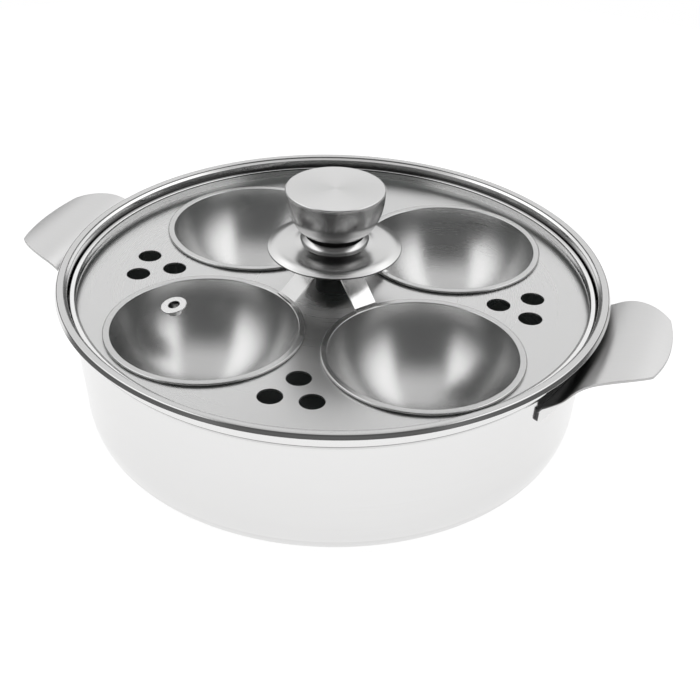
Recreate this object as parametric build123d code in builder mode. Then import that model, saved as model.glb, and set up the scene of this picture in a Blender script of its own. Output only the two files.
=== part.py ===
from build123d import *
import os
from math import asin, cos, degrees, radians, sin, sqrt

os.makedirs("parts", exist_ok=True)

# Egg poacher pan: a two-handled steel pan, a perforated tray with four lift-out cups,
# and a nested glass lid. Millimetres, +Z up, +X along the handles, origin under the base.

# Pan
rim_radius = 120.0
rim_height = 67.0
lip_crest_radius = 118.9
lip_underside_radius = 118.6
lip_edge_height = 2.0
sheet = 0.8
wall_outer_radius = 110.6
wall_top_radius = 113.6
recess_mouth_radius = 115.2
recess_radius = 114.4
recess_bend = 61.5
ledge_height = 57.5
jog_height = 2.5
jog_drop = 1.5
floor_height = 8.0
floor_corner_radius = 8.0
base_flat_radius = 103.2
base_corner_height = 15.8
base_seam_height = 6.8
base_cap_sheet = 0.8

# Handles
handle_sheet = 1.2
handle_tip = 147.0
handle_flange_half_angle = 24.0
handle_flange_bottom = 44.5
handle_flange_top = 56.0
handle_flange_corner = 3.0
handle_corner_radius = 2.0
handle_spline = [(98, 50.4), (106, 52.3), (114, 55.2), (121, 59.9), (131, 63.2), (139, 63.4), (147, 61.8)]
handle_edge = [
    (96, 48.5),
    (108, 43.5),
    (113, 39.8),
    (116, 35.9),
    (120, 34.5),
    (126, 33.6),
    (131.3, 31.8),
    (137.5, 28.2),
    (143.5, 22.6),
]

# Tray
tray_sheet = 0.8
tray_radius = 114.1
cup_hole_radius = 39.9
steam_hole_radius = 5.2
steam_inner_pitch = 72.7
steam_outer_pitch = 86.9
steam_half_spacing = 8.3
steam_angles = [10.5, 190.5, 280.5]
post_radius = 8.0
post_height = 7.6
post_edge_round = 1.2
post_roof = 2.0
post_screw_radius = 2.0
post_screw_gap = 0.4
post_screw_head_radius = 4.0
post_screw_head_height = 1.6
post_screw_head_round = 0.9

# Cups
cup_pitch = 64.8
cup_first_angle = -34.5
cup_count = 4
cup_sheet = 0.5
cup_rim_thickness = 1.4
cup_rim_round = 0.6
cup_rim_radius = 42.0
cup_inner_radius = 39.0
cup_depth = 31.0
tab_width = 10.8
tab_sheet = 1.0
tab_lap = 2.0
tab_corner = 2.0
tab_tip_radius = 11.0
tab_foot_radius = 23.6
tab_tilt = 42.0

# Lid
glass_thickness = 2.8
glass_crown = 79.0
glass_edge_radius = 113.4
band_sheet = 0.5
band_radius = 114.0
band_cover = 1.9
band_gap = 0.05
vent_pitch = 76.4
vent_angle = -127.4
vent_flange_radius = 5.4
vent_hole_radius = 2.3
vent_tube_radius = 3.1
vent_flange_sheet = 0.6
vent_seat = 0.06
glass_bush_radius = 5.0

# Knob
flange_radius = 29.0
flange_edge = 79.0
flange_sheet = 0.8
flange_step = 0.5
flange_slope = (22.0, 80.1)
flange_root_radius = 14.0
collar_bottom = 82.2
collar_top = 84.8
collar_radius = 15.0
collar_top_radius = 12.8
collar_edge = 0.5
neck_radius = 11.5
knob_bottom = 86.2
knob_top = 106.2
knob_radius = 21.4
knob_sheet = 1.2
knob_profile = [(12.6, knob_bottom), (16.2, 88.9), (19.2, 93.8), (20.8, 99.6), (21.4, 105.2)]
knob_hollow = [(20.2, 105.2), (19.6, 99.6), (18.0, 94.2), (13.0, 88.6)]
knob_cap_sheet = 1.0
knob_cap_round = 0.6
insert_radius = 6.0
screw_radius = 3.0
screw_head_radius = 5.5
screw_head_height = 2.6
screw_head_round = 1.4
screw_slot_length = 7.0
screw_slot_width = 1.2
screw_tip = 99.0
lower_washer_radius = 11.0
steel_washer_radius = 9.0
washer_sheet = 1.0
gasket_radius = 19.0
gasket_top = 79.6

tray_top = ledge_height + tray_sheet
cup_rim_top = tray_top + cup_rim_thickness
wall_inner_radius = wall_outer_radius - sheet
jog_bottom = ledge_height - jog_drop
wall_taper = (wall_top_radius - wall_outer_radius) / (jog_bottom - base_corner_height)
corner_width = wall_outer_radius - base_flat_radius
glass_edge_top = tray_top + band_sheet + glass_thickness
glass_rise = glass_crown - glass_edge_top
glass_sphere = (glass_edge_radius**2 + glass_rise**2) / (2 * glass_rise)
glass_centre = glass_crown - glass_sphere
washer_top = glass_crown - glass_thickness
cup_sphere = (cup_inner_radius**2 + cup_depth**2) / (2 * cup_depth)
cup_centre = cup_rim_top - cup_depth + cup_sphere
cup_angles = [cup_first_angle + 360 / cup_count * n for n in range(cup_count)]


def glass_top_at(radius):
    """Height of the glass's upper face at a distance from the axis."""
    return glass_centre + sqrt(glass_sphere**2 - radius**2)


def wall_at(height):
    """Outer radius of the tapered wall at a height."""
    return wall_outer_radius + wall_taper * (height - base_corner_height)


def finish(shape, name):
    """Label one finished piece and write it."""
    shape.label = name
    export_step(shape, f"parts/{name}.step")


def revolved(points):
    """A closed profile of (radius, height) points, turned about the Z axis."""
    with BuildPart() as body:
        with BuildSketch(Plane.XZ):
            with BuildLine():
                Polyline(*points, close=True)
            make_face()
        revolve(axis=Axis.Z)
    return body.part


# Drawn pan shell: one profile turned about the axis, with a recess for the lid and a flat lip.
corner_angle = degrees(asin((base_corner_height - base_seam_height) / base_corner_height))

with BuildPart() as pan_shell:
    with BuildSketch(Plane.XZ):
        with BuildLine():
            heel = EllipticalCenterArc(
                (base_flat_radius, base_corner_height),
                corner_width,
                base_corner_height,
                start_angle=-corner_angle,
                arc_size=corner_angle,
            )
            lip_chain = FilletPolyline(
                heel @ 1,
                (wall_top_radius, jog_bottom),
                (recess_radius + sheet, jog_bottom + jog_height),
                (recess_radius + sheet, recess_bend),
                (recess_mouth_radius + sheet, rim_height - sheet),
                (lip_underside_radius, rim_height - sheet),
                (rim_radius - sheet, rim_height - lip_edge_height),
                (rim_radius, rim_height - lip_edge_height),
                (lip_crest_radius, rim_height),
                (recess_mouth_radius, rim_height),
                (recess_radius, recess_bend),
                (recess_radius, ledge_height),
                (wall_top_radius - sheet, ledge_height),
                (wall_inner_radius, floor_height + floor_corner_radius),
                radius=[2.0, 1.0, 1.0, 0.4, 0.2, 0.2, 0.1, 0.8, 0.7, 1.5, 0.3, 0.4],
            )
            inner_corner = CenterArc(
                (wall_inner_radius - floor_corner_radius, floor_height + floor_corner_radius),
                floor_corner_radius,
                0,
                -90,
            )
            floor_line = Line(inner_corner @ 1, (0, floor_height))
            axis_line = Line(floor_line @ 1, (0, base_seam_height))
            Line(axis_line @ 1, heel @ 0)
        make_face()
    revolve(axis=Axis.Z)
finish(pan_shell.part, "pan_shell")


def base_disc(inset):
    """The base's rounded dish shape below the shell's floor, inset by a sheet thickness."""
    with BuildPart() as disc:
        with BuildSketch(Plane.XZ):
            with BuildLine():
                arc = EllipticalCenterArc(
                    (base_flat_radius, base_corner_height),
                    corner_width - inset,
                    base_corner_height - inset,
                    start_angle=270,
                    arc_size=90,
                )
                Polyline(arc @ 1, (0, base_corner_height), (0, inset), arc @ 0)
            make_face()
            with Locations((0, base_seam_height)):
                Rectangle(2 * rim_radius, rim_height, align=(Align.CENTER, Align.MIN), mode=Mode.SUBTRACT)
        revolve(axis=Axis.Z)
    return disc.part


# Aluminium core of the heat-spreading base and the steel cap around it, level with the shell's floor.
base_core = base_disc(base_cap_sheet)
finish(base_core, "base_core")

with BuildPart() as base_cap:
    add(base_disc(0))
    add(base_core, mode=Mode.SUBTRACT)
finish(base_cap.part, "base_cap")


# Handle: an arched sheet wing, wide at its root, on a flange that follows the wall below it.
def under_wing(depth):
    """The band of space below the wing's upper face, as deep as given, right across the handle."""
    with BuildPart() as band:
        with BuildSketch(Plane.XZ):
            with BuildLine():
                top_curve = Spline(*handle_spline)
                lower_curve = Spline(*[(s, z - depth) for s, z in reversed(handle_spline)])
                Line(top_curve @ 1, lower_curve @ 0)
                Line(lower_curve @ 1, top_curve @ 0)
            make_face()
        extrude(amount=rim_radius / 2, both=True)
    return band.part


with BuildPart() as handle_flange:
    with BuildSketch(Plane.XZ.rotated((0, 0, -handle_flange_half_angle))):
        with BuildLine():
            Polyline(
                (wall_at(handle_flange_bottom), handle_flange_bottom),
                (wall_at(handle_flange_bottom) + handle_sheet, handle_flange_bottom),
                (wall_at(handle_flange_top) + handle_sheet, handle_flange_top),
                (wall_at(handle_flange_top), handle_flange_top),
                close=True,
            )
        make_face()
    revolve(axis=Axis.Z, revolution_arc=2 * handle_flange_half_angle)
    sheet_edges = handle_flange.edges().filter_by(lambda edge: abs(edge.length / handle_sheet - 1) < 0.1)
    fillet(sheet_edges.group_by(Axis.Z)[0], radius=handle_flange_corner)
    add(under_wing(2 * handle_flange_top - 2 * handle_flange_bottom), mode=Mode.INTERSECT)

with BuildPart() as handle_right:
    add(under_wing(handle_sheet))
    with BuildSketch(Plane.XY) as planform:
        with BuildLine():
            near_edge = Spline(*[(s, -half_width) for s, half_width in handle_edge])
            far_edge = Spline(*reversed(handle_edge))
            ThreePointArc(near_edge @ 1, (handle_tip, 0), far_edge @ 0)
            Line(far_edge @ 1, near_edge @ 0)
        make_face()
        fillet(planform.vertices().group_by(Axis.X)[-1], radius=handle_corner_radius)
    extrude(amount=rim_height, mode=Mode.INTERSECT)
    add(handle_flange.part)
    with BuildSketch(Plane.XZ):
        with BuildLine():
            Polyline(
                (0, base_corner_height),
                (wall_outer_radius, base_corner_height),
                (wall_at(rim_height), rim_height),
                (0, rim_height),
                close=True,
            )
        make_face()
    revolve(axis=Axis.Z, mode=Mode.SUBTRACT)
finish(handle_right.part, "handle_right")

with BuildPart() as handle_left:
    add(handle_right.part)
    mirror(about=Plane.YZ, mode=Mode.REPLACE)
finish(handle_left.part, "handle_left")


# Tray: a flat disc with four cup holes, four groups of three steam holes and a lift post.
with BuildPart() as tray_plate:
    with BuildSketch(Plane.XY.offset(ledge_height)):
        Circle(tray_radius)
        with PolarLocations(cup_pitch, cup_count, start_angle=cup_first_angle):
            Circle(cup_hole_radius, mode=Mode.SUBTRACT)
        for angle in steam_angles:
            with Locations(Location((0, 0, 0), (0, 0, angle))):
                with Locations(
                    (steam_inner_pitch, 0),
                    (steam_outer_pitch, -steam_half_spacing),
                    (steam_outer_pitch, steam_half_spacing),
                ):
                    Circle(steam_hole_radius, mode=Mode.SUBTRACT)
        Circle(post_screw_radius, mode=Mode.SUBTRACT)
    extrude(amount=tray_sheet)
finish(tray_plate.part, "tray_plate")

with BuildPart() as tray_post:
    with BuildSketch(Plane.XY.offset(tray_top)):
        Circle(post_radius)
    extrude(amount=post_height)
    fillet(tray_post.edges().filter_by(GeomType.CIRCLE).sort_by(Axis.Z)[-1], radius=post_edge_round)
    with BuildSketch(Plane.XY.offset(tray_top)):
        Circle(post_screw_radius)
    extrude(amount=post_height - post_roof, mode=Mode.SUBTRACT)
finish(tray_post.part, "tray_post")

with BuildPart() as tray_post_screw:
    with BuildSketch(Plane.XY.offset(ledge_height)):
        Circle(post_screw_radius)
    extrude(amount=tray_sheet + post_height - post_roof - post_screw_gap)
    with BuildSketch(Plane.XY.offset(ledge_height)):
        Circle(post_screw_head_radius)
    extrude(amount=-post_screw_head_height)
    head_edge = tray_post_screw.edges().filter_by(GeomType.CIRCLE).sort_by(Axis.Z)[0]
    fillet(head_edge, radius=post_screw_head_round)
finish(tray_post_screw.part, "tray_post_screw")


def bowl_arc(radius, end_radius):
    """An arc of the cup's round section, from its bottom up to a distance from the cup's axis."""
    half = asin(end_radius / radius)
    return ThreePointArc(
        (0, cup_centre - radius),
        (radius * sin(half / 2), cup_centre - radius * cos(half / 2)),
        (end_radius, cup_centre - radius * cos(half)),
    )


def cup_bowl(angle):
    """A round-bottomed cup hanging by its thick rolled rim at one place on the tray."""
    centre = Vector(cup_pitch * cos(radians(angle)), cup_pitch * sin(radians(angle)))
    outer_sphere = cup_sphere + cup_sheet
    with BuildPart() as bowl:
        with BuildSketch(Plane.XZ):
            with BuildLine():
                inner = bowl_arc(cup_sphere, cup_inner_radius)
                outer = bowl_arc(outer_sphere, sqrt(outer_sphere**2 - (cup_centre - tray_top) ** 2))
                Polyline(inner @ 1, (cup_rim_radius, cup_rim_top), (cup_rim_radius, tray_top), outer @ 1)
                Line(outer @ 0, inner @ 0)
            make_face()
        revolve(axis=Axis.Z)
        fillet(bowl.edges().filter_by(GeomType.CIRCLE).group_by(Axis.Z)[-1], radius=cup_rim_round)
    return bowl.part.moved(Location(centre))


def cup_tab(angle):
    """The flat grip strip that rises from a cup's rim towards the middle of the tray."""
    length = (tab_foot_radius - tab_tip_radius) / cos(radians(tab_tilt))
    foot = Plane.XZ.offset(-tab_width / 2)
    with BuildPart() as tab:
        with BuildSketch(foot):
            with BuildLine():
                strip = Polyline(
                    (tab_foot_radius + tab_lap, cup_rim_top),
                    (tab_foot_radius, cup_rim_top),
                    (
                        tab_foot_radius - length * cos(radians(tab_tilt)),
                        cup_rim_top + length * sin(radians(tab_tilt)),
                    ),
                )
                offset(strip, amount=tab_sheet, side=Side.RIGHT)
            make_face()
        extrude(amount=tab_width)
        thickness_edges = tab.edges().filter_by(lambda edge: abs(edge.length - tab_sheet) < tab_sheet / 20)
        fillet(thickness_edges.group_by(Axis.X)[0], radius=tab_corner)
    return tab.part.rotate(Axis.Z, angle)


for number, angle in enumerate(cup_angles, start=1):
    finish(cup_bowl(angle), f"cup_{number}_bowl")
    finish(cup_tab(angle), f"cup_{number}_tab")


# Lid glass: a shallow dome with a bush hole in the middle and a vent hole square to its face.
vent_tilt = asin(vent_pitch / glass_sphere)
vent_radial = Vector(cos(radians(vent_angle)), sin(radians(vent_angle)), 0)
vent_normal = vent_radial * sin(vent_tilt) + Vector(0, 0, cos(vent_tilt))
vent_face = Plane(
    origin=vent_radial * vent_pitch + Vector(0, 0, glass_top_at(vent_pitch)),
    x_dir=Vector(-vent_radial.Y, vent_radial.X, 0),
    z_dir=vent_normal,
)
inner_sphere = glass_sphere - glass_thickness
glass_mid_radius = glass_edge_radius / 2

with BuildPart() as lid_glass:
    with BuildSketch(Plane.XZ):
        with BuildLine():
            crown = ThreePointArc(
                (glass_bush_radius, glass_top_at(glass_bush_radius)),
                (glass_mid_radius, glass_top_at(glass_mid_radius)),
                (glass_edge_radius, glass_edge_top),
            )
            under = ThreePointArc(
                (glass_edge_radius, glass_edge_top - glass_thickness),
                (glass_mid_radius, glass_centre + sqrt(inner_sphere**2 - glass_mid_radius**2)),
                (glass_bush_radius, glass_centre + sqrt(inner_sphere**2 - glass_bush_radius**2)),
            )
            Line(crown @ 1, under @ 0)
            Line(under @ 1, crown @ 0)
        make_face()
    revolve(axis=Axis.Z)
    with BuildSketch(vent_face):
        Circle(vent_tube_radius)
    extrude(amount=2 * glass_thickness, both=True, mode=Mode.SUBTRACT)
finish(lid_glass.part, "lid_glass")

# Rolled steel band that grips the glass's edge, and that the lid rests on.
band_inner = band_radius - band_cover
with BuildPart() as lid_rim_band:
    with BuildSketch(Plane.XZ):
        with BuildLine():
            FilletPolyline(
                (band_inner, tray_top),
                (band_radius, tray_top),
                (band_radius, glass_edge_top + band_sheet),
                (band_inner, glass_top_at(band_inner) + band_gap + band_sheet),
                (band_inner, glass_top_at(band_inner) + band_gap),
                (glass_edge_radius, glass_edge_top),
                (glass_edge_radius, tray_top + band_sheet),
                (band_inner, tray_top + band_sheet),
                radius=[0.2, 0.5, 0.8, 0.15, 0.02, 0.05, 0.05, 0.02],
                close=True,
            )
        make_face()
    revolve(axis=Axis.Z)
    add(lid_glass.part, mode=Mode.SUBTRACT)
finish(lid_rim_band.part, "lid_rim_band")

# Pressed steel eyelet: a flat ring on the glass with a tube down through the vent hole.
with BuildPart() as vent_eyelet:
    with BuildSketch(vent_face.offset(vent_seat)):
        Circle(vent_flange_radius)
    extrude(amount=vent_flange_sheet)
    ring_face = vent_eyelet.faces().sort_by(Axis((0, 0, 0), vent_normal))[-1]
    fillet(ring_face.edges(), radius=vent_flange_sheet / 2)
    with BuildSketch(vent_face.offset(vent_seat)):
        Circle(vent_tube_radius)
    extrude(amount=-glass_thickness - vent_seat)
    with BuildSketch(vent_face.offset(2 * vent_flange_sheet)):
        Circle(vent_hole_radius)
    extrude(amount=-2 * glass_thickness, mode=Mode.SUBTRACT)
finish(vent_eyelet.part, "vent_eyelet")


# Knob, from the glass upwards: gasket, flange, collar, neck, hollow body and its cap.
with BuildPart() as knob_gasket:
    with BuildSketch(Plane.XZ):
        with BuildLine():
            seat = ThreePointArc(
                (screw_radius, glass_top_at(screw_radius)),
                (gasket_radius / 2, glass_top_at(gasket_radius / 2)),
                (gasket_radius, glass_top_at(gasket_radius)),
            )
            Polyline(seat @ 1, (gasket_radius, gasket_top), (screw_radius, gasket_top), seat @ 0)
        make_face()
    revolve(axis=Axis.Z)
finish(knob_gasket.part, "knob_gasket")

with BuildPart() as knob_flange:
    with BuildSketch(Plane.XZ):
        with BuildLine():
            top_face = Spline(
                (flange_radius, flange_edge),
                flange_slope,
                (flange_root_radius, collar_bottom),
            )
            Polyline(
                top_face @ 1,
                (screw_radius, collar_bottom),
                (screw_radius, gasket_top),
                (gasket_radius, gasket_top),
                (gasket_radius + flange_sheet, gasket_top - flange_step),
                (flange_radius, flange_edge - flange_sheet),
                top_face @ 0,
            )
        make_face()
    revolve(axis=Axis.Z)
finish(knob_flange.part, "knob_flange")

collar = revolved(
    [
        (screw_radius, collar_bottom),
        (collar_radius - collar_edge, collar_bottom),
        (collar_radius, collar_bottom + collar_edge),
        (collar_radius - collar_edge, collar_bottom + 2 * collar_edge),
        (collar_top_radius, collar_top),
        (screw_radius, collar_top),
    ]
)
finish(collar, "knob_collar")

neck = revolved(
    [
        (screw_radius, collar_top),
        (neck_radius, collar_top),
        (neck_radius, knob_bottom),
        (screw_radius, knob_bottom),
    ]
)
finish(neck, "knob_neck")

with BuildPart() as knob_body:
    with BuildSketch(Plane.XZ):
        with BuildLine():
            shell_side = Spline(*knob_profile)
            hollow_side = Spline(*knob_hollow)
            Line(shell_side @ 1, hollow_side @ 0)
            Polyline(
                hollow_side @ 1,
                (insert_radius, knob_bottom + 2 * knob_sheet),
                (insert_radius, knob_bottom),
                shell_side @ 0,
            )
        make_face()
    revolve(axis=Axis.Z)
finish(knob_body.part, "knob_body")

with BuildPart() as knob_cap:
    with BuildSketch(Plane.XY.offset(knob_top - knob_cap_sheet)):
        Circle(knob_radius)
    extrude(amount=knob_cap_sheet)
    fillet(knob_cap.edges().filter_by(GeomType.CIRCLE).sort_by(Axis.Z)[-1], radius=knob_cap_round)
finish(knob_cap.part, "knob_cap")

with BuildPart() as knob_insert:
    with BuildSketch(Plane.XY.offset(knob_bottom)):
        Circle(insert_radius)
        Circle(screw_radius, mode=Mode.SUBTRACT)
    extrude(amount=knob_top - knob_cap_sheet - knob_bottom)
finish(knob_insert.part, "knob_insert")


# Below the glass: a soft washer, a steel washer and the screw that holds the knob.
with BuildPart() as lower_gasket:
    with BuildSketch(Plane.XY.offset(washer_top - washer_sheet)):
        Circle(lower_washer_radius)
        Circle(screw_radius, mode=Mode.SUBTRACT)
    extrude(amount=washer_sheet)
    add(lid_glass.part, mode=Mode.SUBTRACT)
finish(lower_gasket.part, "lower_gasket")

with BuildPart() as steel_washer:
    with BuildSketch(Plane.XY.offset(washer_top - 2 * washer_sheet)):
        Circle(steel_washer_radius)
        Circle(screw_radius, mode=Mode.SUBTRACT)
    extrude(amount=washer_sheet)
finish(steel_washer.part, "steel_washer")

head_top = washer_top - 2 * washer_sheet
with BuildPart() as knob_screw:
    with BuildSketch(Plane.XY.offset(head_top)):
        Circle(screw_head_radius)
    extrude(amount=-screw_head_height)
    fillet(knob_screw.edges().filter_by(GeomType.CIRCLE).sort_by(Axis.Z)[0], radius=screw_head_round)
    with BuildSketch(Plane.XY.offset(head_top - screw_head_height)):
        SlotOverall(screw_slot_length, screw_slot_width)
    extrude(amount=screw_slot_width, mode=Mode.SUBTRACT)
    with BuildSketch(Plane.XY.offset(head_top)):
        Circle(screw_radius)
    extrude(amount=screw_tip - head_top)
finish(knob_screw.part, "knob_screw")
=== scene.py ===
from math import asin, cos, degrees, pi, radians, sin, sqrt, tan

import bmesh
import bpy
import numpy as np
from mathutils import Euler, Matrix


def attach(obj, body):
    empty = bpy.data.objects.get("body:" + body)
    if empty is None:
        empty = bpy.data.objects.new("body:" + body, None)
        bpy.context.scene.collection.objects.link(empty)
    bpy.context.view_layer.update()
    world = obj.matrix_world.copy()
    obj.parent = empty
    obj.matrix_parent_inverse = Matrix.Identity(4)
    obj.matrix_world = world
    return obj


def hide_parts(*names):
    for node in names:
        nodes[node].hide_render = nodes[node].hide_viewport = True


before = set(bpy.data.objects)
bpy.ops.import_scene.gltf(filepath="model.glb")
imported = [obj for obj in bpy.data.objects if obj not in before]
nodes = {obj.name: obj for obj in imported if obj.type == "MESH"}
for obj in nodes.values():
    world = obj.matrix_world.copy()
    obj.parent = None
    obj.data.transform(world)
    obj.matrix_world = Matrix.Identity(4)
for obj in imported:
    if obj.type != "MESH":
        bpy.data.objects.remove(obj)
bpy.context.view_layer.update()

MM = 0.001
PER_METRE = 1000.0

# Camera, at the photograph's place: the front is the side that faces it.
CAMERA_PLACE = (0.16798, -0.44221, 0.33818)
CAMERA_TURN = (56.464, -1.4055, 20.7606)
CAMERA_LENS = 63.99
CAMERA_SENSOR = 36.0
FRONT_ANGLE = radians(-69.2)
FRONT = (cos(FRONT_ANGLE), sin(FRONT_ANGLE), 0.0)
SIDEWAYS = (-sin(FRONT_ANGLE), cos(FRONT_ANGLE), 0.0)

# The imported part's dimensions, in millimetres.
RIM_RADIUS = 120.0
RIM_HEIGHT = 67.0
LIP_CREST = 118.9
LIP_UNDERSIDE = 118.6
LIP_EDGE = 2.0
RECESS_MOUTH = 115.2
RECESS_RADIUS = 114.4
RECESS_BEND = 61.5
LEDGE = 57.5
JOG_DROP = 1.5
JOG_HEIGHT = 2.5
WALL_RADIUS = 110.6
WALL_TOP_RADIUS = 113.6
SHEET = 0.8
FLOOR = 8.0
FLOOR_CORNER = 8.0
BASE_FLAT = 103.2
BASE_CORNER = 15.8
BASE_SEAM = 6.8
TRAY_TOP = 58.3
CUP_RIM_TOP = 59.7
CUP_INNER = 39.0
CUP_RIM = 42.0
CUP_DEPTH = 31.0
CUP_SHEET = 0.5
CUP_PITCH = 64.8
CUP_ANGLES = [-34.5 + 90 * n for n in range(4)]
CUP_CENTRES = [(CUP_PITCH * cos(radians(a)), CUP_PITCH * sin(radians(a))) for a in CUP_ANGLES]
VENT_PITCH = 76.4
VENT_ANGLE = radians(-127.4)
VENT_PLACE = (VENT_PITCH * MM * cos(VENT_ANGLE), VENT_PITCH * MM * sin(VENT_ANGLE), 0.0)
VENT_HOLE = 2.3
GLASS_CROWN = 79.0
GLASS_EDGE = 113.4
GLASS_EDGE_TOP = 61.6
BAND_RADIUS = 114.0
BAND_INNER = 111.8
BAND_TOP = 62.6
BAND_SHEET = 0.5
SCREW_RADIUS = 3.0
GASKET_RADIUS = 19.0
GASKET_TOP = 79.6
FLANGE_RADIUS = 29.0
FLANGE_EDGE = 79.0
COLLAR_BOTTOM = 82.2
COLLAR_TOP = 84.8
KNOB_BOTTOM = 86.2
KNOB_TOP = 106.2
CAP_BOTTOM = 105.2
KNOB_RADIUS = 21.4
KNOB_SIDE = [(12.6, KNOB_BOTTOM), (16.2, 88.9), (19.2, 93.8), (20.8, 99.6), (KNOB_RADIUS, CAP_BOTTOM)]

# How light the worn edges of the steel are, and how dark the painted shade in its crevices is.
WORN_LEVEL = 0.95
PAINTED_SHADE_LEVEL = 0.012


class Value:
    """A number or vector inside a node tree, so that shader maths reads as Python."""

    def __init__(self, tree, socket):
        self.tree = tree
        self.socket = socket

    def math(self, operation, *others):
        """A Math node on this value and the others."""
        node = self.tree.nodes.new("ShaderNodeMath")
        node.operation = operation
        for slot, operand in zip(node.inputs, (self, *others)):
            plug(self.tree, operand, slot)
        return Value(self.tree, node.outputs[0])

    def __add__(self, other):
        return self.math("ADD", other)

    def __mul__(self, other):
        return self.math("MULTIPLY", other)

    def __sub__(self, other):
        return self.math("SUBTRACT", other)

    def __truediv__(self, other):
        return self.math("DIVIDE", other)

    def __pow__(self, other):
        return self.math("POWER", other)

    def __rsub__(self, other):
        return (self * -1.0) + other

    def __neg__(self):
        return self * -1.0

    __radd__ = __add__
    __rmul__ = __mul__


def plug(tree, operand, slot):
    """Join a value to a node's input, or set it there when it is a plain number or vector."""
    if isinstance(operand, Value):
        tree.links.new(operand.socket, slot)
    elif operand is not None:
        slot.default_value = operand


class Graph:
    """One node tree with a method for each kind of node that the materials use."""

    def __init__(self, tree):
        self.tree = tree
        tree.nodes.clear()

    def node(self, kind, inputs=None, output=0, **settings):
        """Any node: its settings, its inputs by name or number, and the output to carry on from."""
        made = self.tree.nodes.new(kind)
        for key, setting in settings.items():
            setattr(made, key, setting)
        for key, operand in (inputs or {}).items():
            plug(self.tree, operand, made.inputs[key])
        return Value(self.tree, made.outputs[output])

    def attribute(self, name, output="Vector"):
        return self.node("ShaderNodeAttribute", output=output, attribute_name=name)

    def place(self):
        return self.node("ShaderNodeTexCoord", output="Object")

    def split(self, vector):
        """The three parts of a vector."""
        made = self.tree.nodes.new("ShaderNodeSeparateXYZ")
        plug(self.tree, vector, made.inputs[0])
        return [Value(self.tree, socket) for socket in made.outputs]

    def join(self, x, y, z):
        return self.node("ShaderNodeCombineXYZ", {0: x, 1: y, 2: z})

    def vector(self, operation, *operands, output="Vector"):
        return self.node(
            "ShaderNodeVectorMath", dict(enumerate(operands)), output=output, operation=operation
        )

    def noise(self, vector, scale, detail=2.0, roughness=0.5):
        return self.node(
            "ShaderNodeTexNoise",
            {"Vector": vector, "Scale": scale, "Detail": detail, "Roughness": roughness},
            output="Fac",
        )

    def step(self, value, low, high, start=0.0, end=1.0):
        """A smooth rise from start to end while the value goes from low to high."""
        return self.node(
            "ShaderNodeMapRange",
            {0: value, 1: low, 2: high, 3: start, 4: end},
            interpolation_type="SMOOTHSTEP",
        )

    def mix(self, factor, first, second):
        """A blend of two colours."""
        made = self.tree.nodes.new("ShaderNodeMix")
        made.data_type = "RGBA"
        plug(self.tree, factor, made.inputs[0])
        plug(self.tree, first, made.inputs[6])
        plug(self.tree, second, made.inputs[7])
        return Value(self.tree, made.outputs[2])

    def bump(self, height, distance, strength=1.0):
        inputs = {"Height": height, "Distance": distance, "Strength": strength}
        return self.node("ShaderNodeBump", inputs, output="Normal")

    def surface(self, **inputs):
        """The Principled shader, with its inputs by name, as the tree's surface."""
        shader = self.node(
            "ShaderNodeBsdfPrincipled", {key.replace("_", " "): operand for key, operand in inputs.items()}
        )
        out = self.tree.nodes.new("ShaderNodeOutputMaterial")
        self.tree.links.new(shader.socket, out.inputs["Surface"])


def new_graph(name):
    """A new material and the graph of its node tree."""
    material = bpy.data.materials.new(name)
    material.use_nodes = True
    return material, Graph(material.node_tree)


def grey(level, tint=0.0):
    """A neutral colour, a little warmer for a positive tint."""
    return (level * (1 + tint), level, level * (1 - tint), 1.0)


def steel(name, level, rough, grain, anisotropic, lay=None, shade=None, smudge=0.05, wear=0.06):
    """Stainless steel whose fine lines follow 'lay'; shade gives the share of colour kept by the painted
    shade in crevices.
    """
    material, g = new_graph(name)
    lay = lay(g) if lay else g.attribute("lay")
    fine = g.noise(lay, grain, detail=3.0, roughness=0.6)
    broad = g.noise(g.place(), 28.0, detail=3.0)
    cloud = g.noise(g.place(), 9.0, detail=1.0)
    edge = g.attribute("edge", "Fac")
    lines = g.step(fine, 0.3, 0.7)
    tone = g.mix(lines, grey(level * 0.992, 0.004), grey(min(level * 1.005, 0.98), 0.002))
    tone = g.mix(g.step(broad, 0.45, 0.75, 0.0, smudge), tone, grey(level * 0.88, 0.012))
    tone = g.mix(edge * wear, tone, grey(WORN_LEVEL))
    # Painted shade: where the shade mask falls, the colour is blended toward a near-black grey.
    if shade:
        tone = g.mix(shade(g), grey(PAINTED_SHADE_LEVEL), tone)
    roughness = rough + (fine - 0.5) * 0.03 + (cloud - 0.5) * 0.04 - edge * 0.04
    g.surface(
        Base_Color=tone,
        Metallic=1.0,
        Roughness=roughness,
        Anisotropic=anisotropic,
        Normal=g.bump(fine, 1e-7, 0.06),
    )
    return material


def ring_lay(g):
    """Fine circles about the pan's axis, from the object coordinates."""
    x, y, z = g.split(g.place())
    radius = (x * x + y * y) ** 0.5
    across = radius + MM
    return g.join(radius * PER_METRE, x / across * 0.7, y / across * 0.7 + z * 300.0)


def from_axis(g):
    """Distance from the pan's axis, and height, both in millimetres."""
    x, y, z = g.split(g.place())
    return (x * x + y * y) ** 0.5 * PER_METRE, z * PER_METRE


def pan_shade(g):
    """Painted shade: dark down the lid's recess, and a little darker on the lip's open face."""
    radius, height = from_axis(g)
    recess = g.step(radius, RECESS_RADIUS - 0.7, RECESS_RADIUS - 0.5)
    recess = recess * g.step(radius, RECESS_MOUTH - 0.04, RECESS_MOUTH - 0.08)
    recess = recess * g.step(height, LEDGE - 0.1, LEDGE + 1.1)
    depth = g.step(height, RIM_HEIGHT - 2.0, RIM_HEIGHT - 4.4)
    face = g.step(height, RIM_HEIGHT - 0.8, RIM_HEIGHT - 0.4)
    face = face * g.step(radius, RECESS_MOUTH + 0.1, RECESS_MOUTH + 0.4)
    return (1.0 - recess * depth * 0.94) * (1.0 - face * 0.2)


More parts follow.
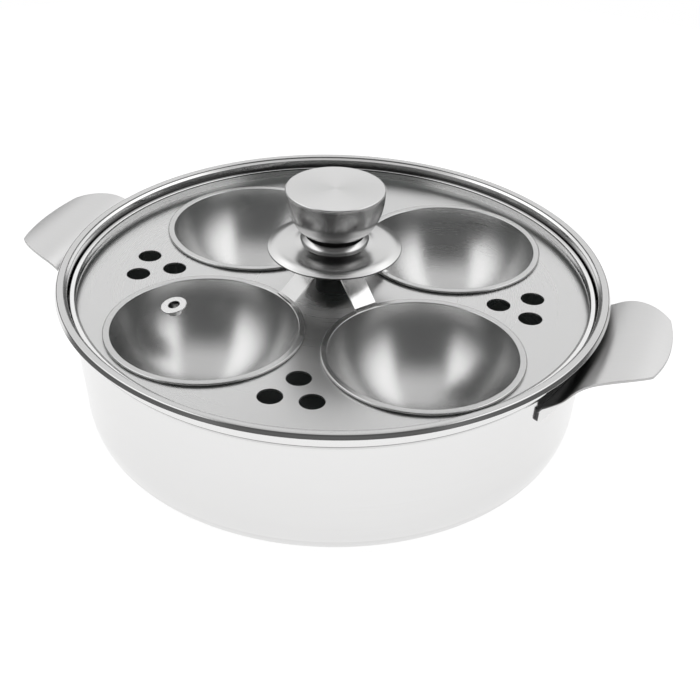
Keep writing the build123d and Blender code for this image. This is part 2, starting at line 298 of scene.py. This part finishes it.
def band_shade(g):
    """Painted shade: dark on the band's outer side, and where its inner edge meets the glass."""
    radius, height = from_axis(g)
    outside = g.step(radius, BAND_RADIUS - 0.4, BAND_RADIUS - 0.1)
    outside = outside * g.step(height, BAND_TOP - 0.5, BAND_TOP - 1.1)
    corner = g.step(radius, BAND_RADIUS - 0.5, BAND_RADIUS - 0.55)
    corner = corner * g.step(height, BAND_TOP - 1.6, BAND_TOP - 1.2)
    corner = corner * g.step(height, BAND_TOP - 0.18, BAND_TOP - 0.32)
    return (1.0 - outside * 0.94) * (1.0 - corner * 0.92)


def handle_shade(g):
    """Painted shade: dark where the wing dips to the wall, on the ends of the flange below it and on the
    sheet's edges.
    """
    x, y, _ = g.split(g.place())
    radius, height = from_axis(g)
    along = x.math("ABSOLUTE") * PER_METRE
    aside = y.math("ABSOLUTE") * PER_METRE
    wing = g.step(height - (along - 103.0) * 0.4, 49.7, 50.3)
    valley = wing * g.step(radius, 122.5, 119.0)
    ends = g.step(aside / radius, 0.4005, 0.404) * g.step(height, 51.0, 50.0)
    upright = g.split(g.node("ShaderNodeTexCoord", output="Normal"))[2].math("ABSOLUTE")
    sides = g.step(upright, 0.6, 0.3) * g.step(height, 52.0, 54.0)
    return (1.0 - valley * 0.93) * (1.0 - ends * 0.9) * (1.0 - sides * 0.35)


def knob_shade(g):
    """Painted shade: dark on the bell's foot and the flange's lower edge, and darker on the bell's side."""
    radius, height = from_axis(g)
    foot = g.step(height, KNOB_BOTTOM - 0.6, KNOB_BOTTOM - 0.2)
    foot = foot * g.step(height, KNOB_BOTTOM + 1.6, KNOB_BOTTOM + 0.8)
    low_edge = g.step(radius, FLANGE_RADIUS - 1.0, FLANGE_RADIUS - 0.4)
    low_edge = low_edge * g.step(height, FLANGE_EDGE - 0.05, FLANGE_EDGE - 0.25)
    side = g.step(height, KNOB_BOTTOM + 1.3, KNOB_BOTTOM + 5.8)
    side = side * g.step(height, CAP_BOTTOM - 0.1, CAP_BOTTOM - 0.7)
    return (1.0 - foot * 0.95) * (1.0 - low_edge * 0.8) * (1.0 - side * 0.42)


def off_centre(g, centre):
    """Distance from an upright line through a place, in millimetres."""
    x, y, _ = g.split(g.place())
    return g.vector("DISTANCE", g.join(x, y, 0.0), centre, output="Value") * PER_METRE


def vent_shade(g):
    """Painted shade: black inside the eyelet's hole."""
    return g.step(off_centre(g, VENT_PLACE), VENT_HOLE - 0.05, VENT_HOLE + 0.3)


def cup_shade(centre):
    """Painted shade: dark along the foot of one cup's rim, where it meets the tray."""

    def shade(g):
        height = from_axis(g)[1]
        foot = g.step(off_centre(g, centre), CUP_RIM - 0.4, CUP_RIM - 0.1)
        return 1.0 - foot * g.step(height, TRAY_TOP + 0.8, TRAY_TOP + 0.4) * 0.9

    return shade


def cross_lay(g):
    """Fine straight lines along the handles' axis."""
    x, y, z = g.split(g.place())
    return g.join(x * 40.0, y * PER_METRE, z * 300.0)


def weld(mesh):
    """Merge the points that lie in one place, which closes poles and seams."""
    work = bmesh.new()
    work.from_mesh(mesh)
    bmesh.ops.remove_doubles(work, verts=work.verts, dist=1e-6)
    work.to_mesh(mesh)
    work.free()


def read_normals(mesh):
    """The outward normals that were stored on the mesh's points."""
    normals = np.zeros(len(mesh.vertices) * 3, np.float32)
    mesh.attributes["outward"].data.foreach_get("vector", normals)
    return normals.reshape(-1, 3).tolist()


def make_mesh(name, points, faces, attributes):
    """A mesh object from arrays in millimetres, with smooth faces and the normals in 'outward'."""
    mesh = bpy.data.meshes.new(name)
    mesh.from_pydata((points * MM).tolist(), [], faces.tolist())
    mesh.polygons.foreach_set("use_smooth", np.ones(len(mesh.polygons), bool))
    for key, (kind, values) in attributes.items():
        layer = mesh.attributes.new(key, kind, "POINT")
        part = "vector" if kind == "FLOAT_VECTOR" else "value"
        layer.data.foreach_set(part, np.ravel(values).astype(np.float32))
    mesh.update()
    weld(mesh)
    mesh.normals_split_custom_set_from_vertices(read_normals(mesh))
    made = bpy.data.objects.new(name, mesh)
    bpy.context.scene.collection.objects.link(made)
    return made


def grid_faces(rows, columns, wrap_rows=False, wrap_columns=True):
    """Quads between the rows and columns of a grid of points."""
    index = np.arange(rows * columns).reshape(rows, columns)
    below = np.roll(index, -1, 0) if wrap_rows else index[1:]
    here = index if wrap_rows else index[:-1]
    if wrap_columns:
        quads = np.stack([here, np.roll(here, -1, 1), np.roll(below, -1, 1), below], -1)
    else:
        quads = np.stack([here[:, :-1], here[:, 1:], below[:, 1:], below[:, :-1]], -1)
    return quads.reshape(-1, 4)


def filleted(corners, closed=False, arc_step=12.0):
    """Points and outward normals along (r, z, radius) corners, each turned by an arc of its radius."""
    place = np.array([c[:2] for c in corners], float)
    out = []
    count = len(corners)
    for i, (r, z, *rest) in enumerate(corners):
        radius = rest[0] if rest else 0.0
        if not closed and i in (0, count - 1):
            near = place[1] - place[0] if i == 0 else place[-1] - place[-2]
            near = near / np.linalg.norm(near)
            out.append((r, z, near[1], -near[0], 0.0))
            continue
        before = place[i] - place[i - 1]
        after = place[(i + 1) % count] - place[i]
        before, after = before / np.linalg.norm(before), after / np.linalg.norm(after)
        turn = np.arctan2(before[0] * after[1] - before[1] * after[0], before @ after)
        cut = radius * abs(tan(turn / 2))
        start = place[i] - before * cut
        steps = max(int(abs(degrees(turn)) / arc_step), 1)
        for k in range(steps + 1):
            bend = turn * k / steps
            if radius:
                side = np.array([before[1], -before[0]]) * np.sign(turn)
                centre = start - side * radius
                c, s = cos(bend), sin(bend)
                spoke = np.array([side[0] * c - side[1] * s, side[0] * s + side[1] * c])
                spot = centre + spoke * radius
                normal = spoke * np.sign(turn)
                out.append((*spot, *normal, 1.0))
            else:
                c, s = cos(bend), sin(bend)
                normal = np.array([before[1] * c + before[0] * s, -before[0] * c + before[1] * s])
                out.append((*place[i], *normal, 1.0))
    return np.array(out)


def arc_points(centre, radii, start, end, count):
    """Points on an ellipse arc, the centre plus (first radius cos a, second radius sin a) from start
    to end in degrees, and their outward normals, along (cos a / first, sin a / second)."""
    angle = np.radians(np.linspace(start, end, count))
    normal = np.stack([np.cos(angle) / radii[0], np.sin(angle) / radii[1]], 1)
    normal /= np.linalg.norm(normal, axis=1)[:, None]
    spot = np.stack([centre[0] + radii[0] * np.cos(angle), centre[1] + radii[1] * np.sin(angle)], 1)
    return np.hstack([spot, normal, np.zeros((count, 1))])


def smooth_run(points, count):
    """Points and outward normals on the natural cubic curve through the given (r, z) points."""
    spots = np.array(points, float)
    gaps = np.linalg.norm(np.diff(spots, axis=0), axis=1)
    knots = np.concatenate([[0.0], np.cumsum(gaps)])
    n = len(spots)
    system, right = np.eye(n), np.zeros((n, 2))
    for i in range(1, n - 1):
        system[i, i - 1 : i + 2] = gaps[i - 1], 2 * (gaps[i - 1] + gaps[i]), gaps[i]
        right[i] = 6 * ((spots[i + 1] - spots[i]) / gaps[i] - (spots[i] - spots[i - 1]) / gaps[i - 1])
    bend = np.linalg.solve(system, right)
    t = np.linspace(0, knots[-1], count)
    k = np.clip(np.searchsorted(knots, t, side="right") - 1, 0, n - 2)
    h, a, b = gaps[k][:, None], (knots[k + 1] - t)[:, None], (t - knots[k])[:, None]
    curve = (bend[k] * a**3 + bend[k + 1] * b**3) / (6 * h)
    curve += (spots[k] / h - bend[k] * h / 6) * a + (spots[k + 1] / h - bend[k + 1] * h / 6) * b
    slope = (bend[k + 1] * b**2 - bend[k] * a**2) / (2 * h)
    slope += (spots[k + 1] - spots[k]) / h - (bend[k + 1] - bend[k]) * h / 6
    slope /= np.linalg.norm(slope, axis=1)[:, None]
    return np.hstack([curve, slope[:, 1:], -slope[:, :1], np.zeros((count, 1))])


def lathe(name, profile, steps=256, centre=(0.0, 0.0), closed=False):
    """The profile's points carried round the axis: x = r cos a, y = r sin a, with z kept.

    The 'lay' of the fine lines is (length along the profile, 0.7 cos a, 0.7 sin a)."""
    r, z, nr, nz, edge = np.asarray(profile).T
    length = np.concatenate([[0.0], np.cumsum(np.hypot(np.diff(r), np.diff(z)))])
    angle = np.linspace(0, 2 * pi, steps, endpoint=False)
    c, s = np.cos(angle), np.sin(angle)
    level = np.ones(steps)
    column = np.ones(len(r))
    points = np.stack([centre[0] + np.outer(r, c), centre[1] + np.outer(r, s), np.outer(z, level)], -1)
    normals = np.stack([np.outer(nr, c), np.outer(nr, s), np.outer(nz, level)], -1)
    lay = np.stack([np.outer(length, level), np.outer(column, 0.7 * c), np.outer(column, 0.7 * s)], -1)
    attributes = {
        "outward": ("FLOAT_VECTOR", normals),
        "lay": ("FLOAT_VECTOR", lay),
        "edge": ("FLOAT", np.outer(edge, level)),
    }
    faces = grid_faces(len(r), steps, wrap_rows=closed)
    return make_mesh(name, points.reshape(-1, 3), faces, attributes)


def softened(node, width):
    """A copy of a CAD node with its doubles merged and its sharp edges rounded by a bevel."""
    mesh = nodes[node].data.copy()
    weld(mesh)
    if "custom_normal" in mesh.attributes:
        mesh.attributes.remove(mesh.attributes["custom_normal"])
    mesh.polygons.foreach_set("use_smooth", np.ones(len(mesh.polygons), bool))
    made = bpy.data.objects.new(f"{node}_skin", mesh)
    bpy.context.scene.collection.objects.link(made)
    rounding = made.modifiers.new("rounding", "BEVEL")
    rounding.width = width * MM
    rounding.segments = 3
    rounding.limit_method = "ANGLE"
    rounding.angle_limit = radians(35)
    rounding.harden_normals = True
    return made


def dress(piece, body, material, slot, *replaced):
    """Give a piece its material, the body that it rides on and the nodes that it stands for."""
    piece.data.materials.clear()
    piece.data.materials.append(material)
    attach(piece, body)
    if replaced:
        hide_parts(*replaced)


def paint(node, material):
    """Give a CAD node a material in place of its plain one."""
    for slot in nodes[node].material_slots:
        slot.material = material


# Materials
pan_steel = steel("spun_pan_steel", 0.76, 0.18, 1.2, 0.35, shade=pan_shade)
base_steel = steel("base_cap_steel", 0.72, 0.24, 1.6, 0.4)
cup_steels = [
    steel(f"spun_cup_steel_{n}", 0.62, 0.26, 1.5, 0.0, shade=cup_shade((x * MM, y * MM, 0.0)))
    for n, (x, y) in enumerate(CUP_CENTRES, start=1)
]
band_steel = steel("rolled_band_steel", 0.86, 0.18, 1.2, 0.2, shade=band_shade)
knob_steel = steel("spun_knob_steel", 0.70, 0.25, 2.2, 0.6, shade=knob_shade)
tray_steel = steel("satin_tray_steel", 0.74, 0.28, 1.0, 0.0, ring_lay)
handle_steel = steel("satin_handle_steel", 0.80, 0.42, 1.0, 0.0, cross_lay, handle_shade)
tab_steel = steel("bright_tab_steel", 0.85, 0.2, 1.0, 0.0, cross_lay)
small_steel = steel("plain_fitting_steel", 0.74, 0.25, 1.0, 0.0, ring_lay)
vent_steel = steel("vent_eyelet_steel", 0.78, 0.28, 1.0, 0.0, ring_lay, shade=vent_shade)


def black_plastic(name):
    """Heat-proof moulded plastic with a fine pebble."""
    material, g = new_graph(name)
    pebble = g.noise(g.place(), 2600.0, detail=2.0)
    broad = g.noise(g.place(), 90.0, detail=2.0)
    tone = g.mix(broad, (0.010, 0.010, 0.011, 1.0), (0.024, 0.023, 0.022, 1.0))
    g.surface(
        Base_Color=tone,
        Roughness=0.6 + (broad - 0.5) * 0.2,
        Specular_IOR_Level=0.2,
        Normal=g.bump(pebble, 0.00004, 0.5),
    )
    return material


def silicone(name):
    """Pale grey silicone, faintly mottled."""
    material, g = new_graph(name)
    broad = g.noise(g.place(), 160.0, detail=2.0)
    tone = g.mix(broad, grey(0.40), grey(0.52, 0.01))
    g.surface(Base_Color=tone, Roughness=0.55 + (broad - 0.5) * 0.2, Normal=g.bump(broad, 0.00005, 0.4))
    return material


def clear_glass(name):
    """Clear tempered glass: almost nothing face on, a cool tint and gloss where it is seen edge on,
    and a ring of painted shade just inside the band's inner edge."""
    material, g = new_graph(name)
    facing = g.node("ShaderNodeLayerWeight", {"Blend": 0.25}, output="Facing")
    smear = g.noise(g.place(), 22.0, detail=3.0)
    shown = g.step(facing, 0.35, 1.0, 0.015, 0.16) + g.step(smear, 0.5, 0.8, 0.0, 0.01)
    tone = g.mix(facing, (0.30, 0.33, 0.32, 1.0), (0.34, 0.42, 0.40, 1.0))
    radius, height = from_axis(g)
    # Painted shade: a near-black ring on the glass just inside the band's inner edge, also made more
    # opaque.
    painted_shade_ring = g.step(radius, BAND_INNER - 0.9, BAND_INNER - 0.6)
    painted_shade_ring = painted_shade_ring * g.step(height, GLASS_EDGE_TOP - 0.8, GLASS_EDGE_TOP - 0.4)
    tone = g.mix(painted_shade_ring, tone, grey(0.01))
    shown = shown + painted_shade_ring * 0.6
    g.surface(Base_Color=tone, Roughness=0.04 + g.step(smear, 0.4, 0.8, 0.0, 0.06), Alpha=shown)
    return material


post_plastic = black_plastic("moulded_post_plastic")
neck_plastic = black_plastic("neck_spacer_plastic")
gasket_silicone = silicone("gasket_silicone")
lid_glass = clear_glass("clear_lid_glass")


# Pan: heel arc, tapered wall, jog, flat lip with a fine groove and a bead, recess, ledge and the inside.
seam_angle = -degrees(asin((BASE_CORNER - BASE_SEAM) / BASE_CORNER))
heel_radii = (WALL_RADIUS - BASE_FLAT, BASE_CORNER)
heel = arc_points((BASE_FLAT, BASE_CORNER), heel_radii, seam_angle, 0, 24)
jog = LEDGE - JOG_DROP
recess_outside = RECESS_RADIUS + SHEET
under_lip = RIM_HEIGHT - SHEET
lip_foot = RIM_HEIGHT - LIP_EDGE
lip_groove = RIM_HEIGHT - 0.05
lip_inner = RIM_HEIGHT - 0.03
wall_run = filleted(
    [
        (WALL_RADIUS, BASE_CORNER),
        (WALL_TOP_RADIUS, jog, 2.0),
        (recess_outside, jog + JOG_HEIGHT, 1.0),
        (recess_outside, RECESS_BEND, 1.0),
        (RECESS_MOUTH + SHEET, under_lip, 0.4),
        (LIP_UNDERSIDE, under_lip, 0.3),
        (RIM_RADIUS - SHEET, lip_foot, 0.2),
        (RIM_RADIUS, lip_foot, 0.15),
        (LIP_CREST, RIM_HEIGHT, 0.8),
        (117.6, RIM_HEIGHT, 2.0),
        (117.2, lip_groove, 0.6),
        (116.8, lip_groove, 2.0),
        (116.1, lip_inner, 0.3),
        (115.9, RIM_HEIGHT - 0.7, 0.2),
        (114.8, RIM_HEIGHT - 1.5, 0.4),
        (RECESS_RADIUS, RECESS_BEND, 1.5),
        (RECESS_RADIUS, LEDGE, 0.3),
        (WALL_TOP_RADIUS - SHEET, LEDGE, 0.4),
        (WALL_RADIUS - SHEET, FLOOR + FLOOR_CORNER),
    ]
)
corner_centre = (WALL_RADIUS - SHEET - FLOOR_CORNER, FLOOR + FLOOR_CORNER)
inner_corner = arc_points(corner_centre, (FLOOR_CORNER, FLOOR_CORNER), 0, -90, 12)
inner_corner[:, 2:4] *= -1
floor_end = [[0.0, FLOOR, 0.0, 1.0, 0.0]]
pan_skin = lathe("pan_skin", np.vstack([heel, wall_run[1:], inner_corner, floor_end]), 384)
dress(pan_skin, "pan", pan_steel, "pan_steel", "pan_shell")

underside = [[0.0, 0.0, 0.0, -1.0, 0.0], [40.0, 0.0, 0.0, -1.0, 0.0], [80.0, 0.0, 0.0, -1.0, 0.0]]
base_round = arc_points((BASE_FLAT, BASE_CORNER), heel_radii, -90, seam_angle, 18)
base_skin = lathe("base_skin", np.vstack([underside, base_round]), 384)
dress(base_skin, "pan", base_steel, "base_steel", "base_cap")

for node in ("handle_left", "handle_right"):
    dress(softened(node, 0.5), "pan", handle_steel, "handle_steel", node)
paint("tray_plate", tray_steel)
paint("tray_post", post_plastic)
for node in ("tray_post_screw", "steel_washer", "knob_screw", "knob_insert", "base_core"):
    paint(node, small_steel)
paint("vent_eyelet", vent_steel)
paint("lid_glass", lid_glass)
for node in ("knob_gasket", "lower_gasket"):
    paint(node, gasket_silicone)
paint("knob_neck", neck_plastic)

# Cups: a round bowl that hangs by a flat rim with a soft bead at its inner edge.
cup_ball = (CUP_INNER**2 + CUP_DEPTH**2) / (2 * CUP_DEPTH)
cup_middle = CUP_RIM_TOP - CUP_DEPTH + cup_ball
reach = degrees(asin(CUP_INNER / cup_ball))
outer_ball = cup_ball + CUP_SHEET
outer_reach = degrees(asin(sqrt(outer_ball**2 - (cup_middle - TRAY_TOP) ** 2) / outer_ball))
bowl_in = arc_points((0, cup_middle), (cup_ball, cup_ball), -90 + reach - 0.6, -90, 56)
bowl_in[:, 2:4] *= -1
bowl_out = arc_points((0, cup_middle), (outer_ball, outer_ball), -90, -90 + outer_reach, 40)
brim = filleted(
    [
        (bowl_out[-1, 0], TRAY_TOP),
        (CUP_RIM, TRAY_TOP, 0.15),
        (CUP_RIM, CUP_RIM_TOP, 0.65),
        (CUP_INNER, CUP_RIM_TOP, 0.6),
        (bowl_in[0, 0], bowl_in[0, 1]),
    ]
)
cup_profile = np.vstack([bowl_out, brim, bowl_in])
for number, (centre, material) in enumerate(zip(CUP_CENTRES, cup_steels), start=1):
    cup = lathe(f"cup_{number}_dish", cup_profile, 192, centre)
    dress(cup, f"cup_{number}", material, "cup_steel", f"cup_{number}_bowl")
    tab = f"cup_{number}_tab"
    dress(softened(tab, 0.25), f"cup_{number}", tab_steel, "tab_steel", tab)

# Lid band, rolled over the glass's edge.
glass_rise = GLASS_CROWN - GLASS_EDGE_TOP
glass_ball = (GLASS_EDGE**2 + glass_rise**2) / (2 * glass_rise)


def glass_top(radius):
    """Height of the glass's upper face at a distance from the axis."""
    return GLASS_CROWN - glass_ball + sqrt(glass_ball**2 - radius**2)


band = lathe(
    "lid_band",
    filleted(
        [
            (BAND_INNER, TRAY_TOP, 0.2),
            (BAND_RADIUS, TRAY_TOP, 0.5),
            (BAND_RADIUS, BAND_TOP, 0.5),
            (BAND_INNER, BAND_TOP, 0.35),
            (BAND_INNER, glass_top(BAND_INNER) + 0.05, 0.05),
            (GLASS_EDGE, GLASS_EDGE_TOP, 0.05),
            (GLASS_EDGE, TRAY_TOP + BAND_SHEET, 0.05),
            (BAND_INNER, TRAY_TOP + BAND_SHEET, 0.1),
        ],
        closed=True,
    ),
    384,
    closed=True,
)
dress(band, "lid", band_steel, "band_steel", "lid_rim_band")

# Knob: flange, collar, hollow body and cap.
flange = lathe(
    "knob_plate",
    filleted(
        [
            (SCREW_RADIUS, COLLAR_BOTTOM),
            (SCREW_RADIUS, GASKET_TOP, 0.1),
            (GASKET_RADIUS, GASKET_TOP, 0.4),
            (GASKET_RADIUS + 0.8, GASKET_TOP - 0.5, 0.4),
            (FLANGE_RADIUS, FLANGE_EDGE - 0.8, 0.35),
            (FLANGE_RADIUS, FLANGE_EDGE, 0.35),
            (25.5, 80.4, 14.0),
            (17.5, 81.3, 14.0),
            (14.0, COLLAR_BOTTOM, 1.0),
            (SCREW_RADIUS + 0.2, COLLAR_BOTTOM),
        ],
        arc_step=3.0,
    ),
    192,
)
dress(flange, "lid", knob_steel, "knob_steel", "knob_flange")
collar = lathe(
    "knob_ring",
    filleted(
        [
            (SCREW_RADIUS, COLLAR_BOTTOM),
            (14.5, COLLAR_BOTTOM, 0.2),
            (15.0, COLLAR_BOTTOM + 0.5, 0.5),
            (14.4, COLLAR_BOTTOM + 1.2, 0.8),
            (12.8, COLLAR_TOP, 0.4),
            (SCREW_RADIUS, COLLAR_TOP),
        ],
        arc_step=6.0,
    ),
    160,
)
dress(collar, "lid", knob_steel, "knob_steel", "knob_collar")
bell_foot = filleted([(6.0, KNOB_BOTTOM), (12.3, KNOB_BOTTOM, 0.5), (12.9, KNOB_BOTTOM + 0.3)])
body = lathe("knob_bell", np.vstack([bell_foot[:-1], smooth_run(KNOB_SIDE, 60)[2:]]), 192)
dress(body, "lid", knob_steel, "knob_steel", "knob_body")
cap = lathe(
    "knob_top",
    filleted(
        [
            (0.0, CAP_BOTTOM),
            (KNOB_RADIUS, CAP_BOTTOM, 0.2),
            (KNOB_RADIUS, KNOB_TOP, 0.7),
            (0.0, KNOB_TOP),
        ],
        arc_step=6.0,
    ),
    192,
)
dress(cap, "lid", knob_steel, "knob_steel", "knob_cap")

# Stage: a pale floor, a white studio and soft light.
FLOOR_RADIUS = 0.6
FLOOR_GLOW = 0.88
bpy.ops.mesh.primitive_circle_add(
    vertices=96, radius=FLOOR_RADIUS, fill_type="NGON", location=(0, 0, -0.0002)
)
floor = bpy.context.object
floor.name = "studio_floor"
floor_paint, g = new_graph("pale_floor")
g.surface(
    Base_Color=(0.3, 0.3, 0.3, 1.0),
    Roughness=0.9,
    Specular_IOR_Level=0.0,
    Emission_Color=(1, 1, 1, 1),
    Emission_Strength=FLOOR_GLOW,
)
floor.data.materials.append(floor_paint)

world = bpy.data.worlds.new("studio")
bpy.context.scene.world = world
world.use_nodes = True
w = Graph(world.node_tree)
way = w.node("ShaderNodeTexCoord", output="Generated")
toward = w.vector("DOT_PRODUCT", way, FRONT, output="Value")
up = w.split(way)[2]
across = w.vector("DOT_PRODUCT", way, SIDEWAYS, output="Value").math("ABSOLUTE")

# Two bright strips run overhead from front to back, one on either side, and a wide panel stands behind.
STRIP_LEVEL, PANEL_LEVEL, OVERHEAD_LEVEL, ROOM_LEVEL = 1.45, 0.86, 0.7, 0.13
strips = w.step(across - toward * 0.3, 0.34, 0.54) * w.step(toward, -0.78, -0.6)
strips = strips * w.step(up, 0.2, 0.8, 0.0, STRIP_LEVEL)
panel = w.step(-toward, 0.3, 0.5) * w.step(across, 0.8, 0.62) * PANEL_LEVEL
panel = panel * w.step(up, 0.26, 0.34) * w.step(up, 0.74, 0.6)
overhead = w.step(across, 0.5, 0.3) * w.step(up, 0.6, 0.85) * w.step(toward, 0.48, -0.1) * OVERHEAD_LEVEL
light = strips.math("MAXIMUM", panel).math("MAXIMUM", overhead) + ROOM_LEVEL
shine = w.node("ShaderNodeBackground", {"Color": w.join(light, light, light), "Strength": 1.0})
plain = w.node("ShaderNodeBackground", {"Color": (1, 1, 1, 1), "Strength": 1.0})
seen = w.node("ShaderNodeLightPath", output="Is Camera Ray")
both = w.node("ShaderNodeMixShader", {0: seen, 1: shine, 2: plain})
out = world.node_tree.nodes.new("ShaderNodeOutputWorld")
world.node_tree.links.new(both.socket, out.inputs["Surface"])

camera_data = bpy.data.cameras.new("camera")
camera_data.lens = CAMERA_LENS
camera_data.sensor_width = CAMERA_SENSOR
camera_data.clip_start = 0.01
camera = bpy.data.objects.new("camera", camera_data)
camera.location = CAMERA_PLACE
camera.rotation_euler = Euler([radians(a) for a in CAMERA_TURN])
bpy.context.scene.collection.objects.link(camera)
bpy.context.scene.camera = camera
bpy.context.scene.view_settings.view_transform = "Standard"
